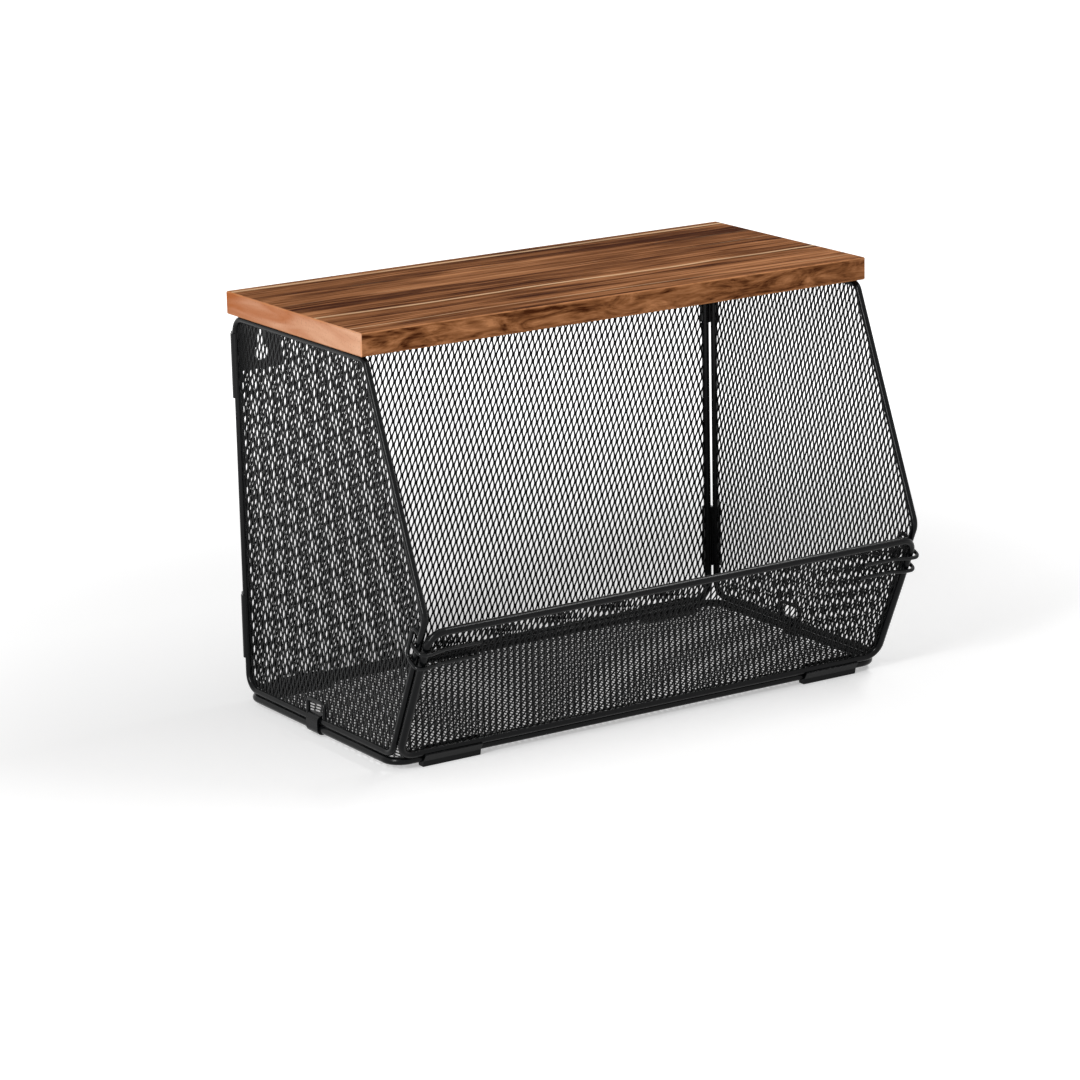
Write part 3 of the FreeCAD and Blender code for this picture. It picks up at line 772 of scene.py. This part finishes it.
def make_sheet(plan, tree, settings, coating):
    """One sheet of expanded mesh as a plain mesh in its place."""
    points, edges = strand_lines(plan["outline"], plan["holes"], settings)
    lines = bpy.data.meshes.new(plan["name"] + "_lines")
    lines.from_pydata([(p.x, p.y, 0.0) for p in points], edges, [])
    draft = bpy.data.objects.new(plan["name"] + "_draft", lines)
    bpy.context.scene.collection.objects.link(draft)
    modifier = draft.modifiers.new("Expanded Mesh", "NODES")
    modifier.node_group = tree
    for name, value in (("Strand Width", settings.strand), ("Sheet Thickness", settings.sheet),
                        ("Strand Tilt", settings.tilt), ("Coating", coating)):
        set_modifier_input(modifier, tree, name, value)
    depsgraph = bpy.context.evaluated_depsgraph_get()
    mesh = bpy.data.meshes.new_from_object(draft.evaluated_get(depsgraph), depsgraph=depsgraph)
    mesh.name = plan["name"]
    mesh.transform(plan["place"])
    mesh.update()
    bpy.data.objects.remove(draft)
    bpy.data.meshes.remove(lines)
    sheet = bpy.data.objects.new(plan["name"], mesh)
    bpy.context.scene.collection.objects.link(sheet)
    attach(sheet, plan["body"])
    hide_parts(plan["node"])
    return sheet


def assign(node_names, material):
    """Gives CAD nodes a material in their own slots."""
    for name in node_names:
        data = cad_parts[name].data
        data.materials.clear()
        data.materials.append(material)


class BASKET_OT_coat_rods(bpy.types.Operator):
    """Coat the rods of the five frames"""
    bl_idname = "basket.coat_rods"
    bl_label = "Coat Rods"

    def execute(self, context):
        assign(RODS, powder_coat("rod_powder_coat", context.scene.basket_finish, *ROD_COAT))
        return {"FINISHED"}


class BASKET_OT_coat_thin_wires(bpy.types.Operator):
    """Coat the window loops and the hairpin clips"""
    bl_idname = "basket.coat_thin_wires"
    bl_label = "Coat Thin Wires"

    def execute(self, context):
        assign(THIN_WIRES, powder_coat(
            "thin_wire_powder_coat", context.scene.basket_finish, *THIN_WIRE_COAT))
        return {"FINISHED"}


class BASKET_OT_coat_sheet(bpy.types.Operator):
    """Coat the hinge straps, the base clips and the keyhole plates"""
    bl_idname = "basket.coat_sheet"
    bl_label = "Coat Sheet Parts"

    def execute(self, context):
        assign(SHEET_PARTS, powder_coat(
            "sheet_powder_coat", context.scene.basket_finish, *SHEET_COAT))
        return {"FINISHED"}


class BASKET_OT_expanded_mesh(bpy.types.Operator):
    """Make the expanded mesh of all five panels"""
    bl_idname = "basket.expanded_mesh"
    bl_label = "Make Expanded Mesh"

    def execute(self, context):
        settings = context.scene.basket_mesh
        coating = powder_coat("mesh_powder_coat", context.scene.basket_finish, *MESH_COAT)
        tree = expanded_mesh_tree()
        for plan in panel_plans():
            sheet = make_sheet(plan, tree, settings, coating)
            print(sheet.name, len(sheet.data.polygons), "faces")
        return {"FINISHED"}


class BASKET_OT_finish_board(bpy.types.Operator):
    """Give the lid board its wood"""
    bl_idname = "basket.finish_board"
    bl_label = "Finish Board"

    def execute(self, context):
        low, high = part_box("lid")
        assign(["lid"], board_wood(context.scene.basket_finish, Vector(low), Vector(high)))
        return {"FINISHED"}


def aim(thing, target):
    thing.rotation_euler = (Vector(target) - thing.location).to_track_quat("-Z", "Y").to_euler()


def soft_lamp(name, place, target, size, power, context):
    data = bpy.data.lights.new(name, "AREA")
    data.shape = "RECTANGLE"
    data.size, data.size_y = size
    data.energy = power
    lamp = bpy.data.objects.new(name, data)
    lamp.location = place
    context.scene.collection.objects.link(lamp)
    aim(lamp, target)


def seen_directly(tree):
    """Socket that is 1 for camera, glossy and transmission rays."""
    path = tree.nodes.new("ShaderNodeLightPath")
    seen = math_node(tree, "MAXIMUM", path.outputs["Is Camera Ray"], path.outputs["Is Glossy Ray"])
    return math_node(tree, "MAXIMUM", seen, path.outputs["Is Transmission Ray"])


class BASKET_OT_set_stage(bpy.types.Operator):
    """Set up the floor, the soft light and the camera"""
    bl_idname = "basket.set_stage"
    bl_label = "Set Stage"

    def execute(self, context):
        stage = context.scene.basket_stage
        data = bpy.data.meshes.new("floor")
        corners = rectangle(-FLOOR_REACH, FLOOR_REACH, -FLOOR_REACH, FLOOR_REACH)
        data.from_pydata([(c.x, c.y, -FLOOR_DROP) for c in corners], [], [(0, 1, 2, 3)])
        floor = bpy.data.objects.new("floor", data)
        context.scene.collection.objects.link(floor)
        material, tree, shader = new_material("pale_floor")
        socket_value(shader, "Base Color", (*stage.floor, 1))
        socket_value(shader, "Roughness", 0.9)
        socket_value(shader, "Specular IOR Level", 0.0)
        socket_value(shader, "Emission Color", (1, 1, 1, 1))
        away = tree.nodes.new("ShaderNodeVectorMath")
        away.operation = "LENGTH"
        tree.links.new(tree.nodes.new("ShaderNodeTexCoord").outputs["Object"], away.inputs[0])
        glow = fade(tree, away.outputs["Value"], GLOW_START, GLOW_END, NEAR_GLOW, 1.0)
        tree.links.new(
            math_node(tree, "MULTIPLY", seen_directly(tree), glow), shader.inputs["Emission Strength"])
        data.materials.append(material)

        world = bpy.data.worlds.new("studio")
        world.use_nodes = True
        tree = world.node_tree
        back = next(n for n in tree.nodes if n.type == "BACKGROUND")
        socket_value(back, "Color", (1, 1, 1, 1))
        tree.links.new(
            fade(tree, seen_directly(tree), 0.0, 1.0, stage.room, 1.0), back.inputs["Strength"])
        context.scene.world = world

        soft_lamp("side_lamp", SIDE_LAMP_PLACE, SIDE_LAMP_TARGET, SIDE_LAMP_SIZE,
                  stage.side_lamp, context)
        soft_lamp("top_lamp", TOP_LAMP_PLACE, TOP_LAMP_TARGET, TOP_LAMP_SIZE,
                  stage.top_lamp, context)

        lens = bpy.data.cameras.new("camera")
        lens.sensor_width = 36
        lens.lens = stage.lens
        lens.clip_start = 0.05
        lens.clip_end = 30
        camera = bpy.data.objects.new("camera", lens)
        turn = Matrix((CAMERA_RIGHT, CAMERA_UP, CAMERA_BACK)).transposed().to_4x4()
        camera.matrix_world = Matrix.Translation(CAMERA_PLACE) @ turn
        context.scene.collection.objects.link(camera)
        context.scene.camera = camera
        context.scene.view_settings.view_transform = "Standard"
        return {"FINISHED"}


class BASKET_PT_panel(bpy.types.Panel):
    """Steps and sizes of the basket"""
    bl_idname = "BASKET_PT_panel"
    bl_label = "Wire Produce Basket"
    bl_space_type = "VIEW_3D"
    bl_region_type = "UI"
    bl_category = "Basket"

    def draw(self, context):
        for operator in OPERATORS:
            self.layout.operator(operator.bl_idname)
        scene = context.scene
        for group in (scene.basket_mesh, scene.basket_finish, scene.basket_stage):
            box = self.layout.box()
            for name in group.bl_rna.properties.keys():
                if name not in ("rna_type", "name"):
                    box.prop(group, name)


OPERATORS = (
    BASKET_OT_coat_rods,
    BASKET_OT_coat_thin_wires,
    BASKET_OT_coat_sheet,
    BASKET_OT_expanded_mesh,
    BASKET_OT_finish_board,
    BASKET_OT_set_stage,
)
SETTINGS = (BasketMeshSettings, BasketFinishSettings, BasketStageSettings)
CLASSES = SETTINGS + OPERATORS + (BASKET_PT_panel,)


def register():
    for cls in CLASSES:
        bpy.utils.register_class(cls)
    bpy.types.Scene.basket_mesh = bpy.props.PointerProperty(type=BasketMeshSettings)
    bpy.types.Scene.basket_finish = bpy.props.PointerProperty(type=BasketFinishSettings)
    bpy.types.Scene.basket_stage = bpy.props.PointerProperty(type=BasketStageSettings)


def unregister():
    del bpy.types.Scene.basket_mesh
    del bpy.types.Scene.basket_finish
    del bpy.types.Scene.basket_stage
    for cls in reversed(CLASSES):
        bpy.utils.unregister_class(cls)


def main():
    register()
    bpy.ops.basket.coat_rods()
    bpy.ops.basket.coat_thin_wires()
    bpy.ops.basket.coat_sheet()
    bpy.ops.basket.expanded_mesh()
    bpy.ops.basket.finish_board()
    bpy.ops.basket.set_stage()


if __name__ == "__main__":
    main()
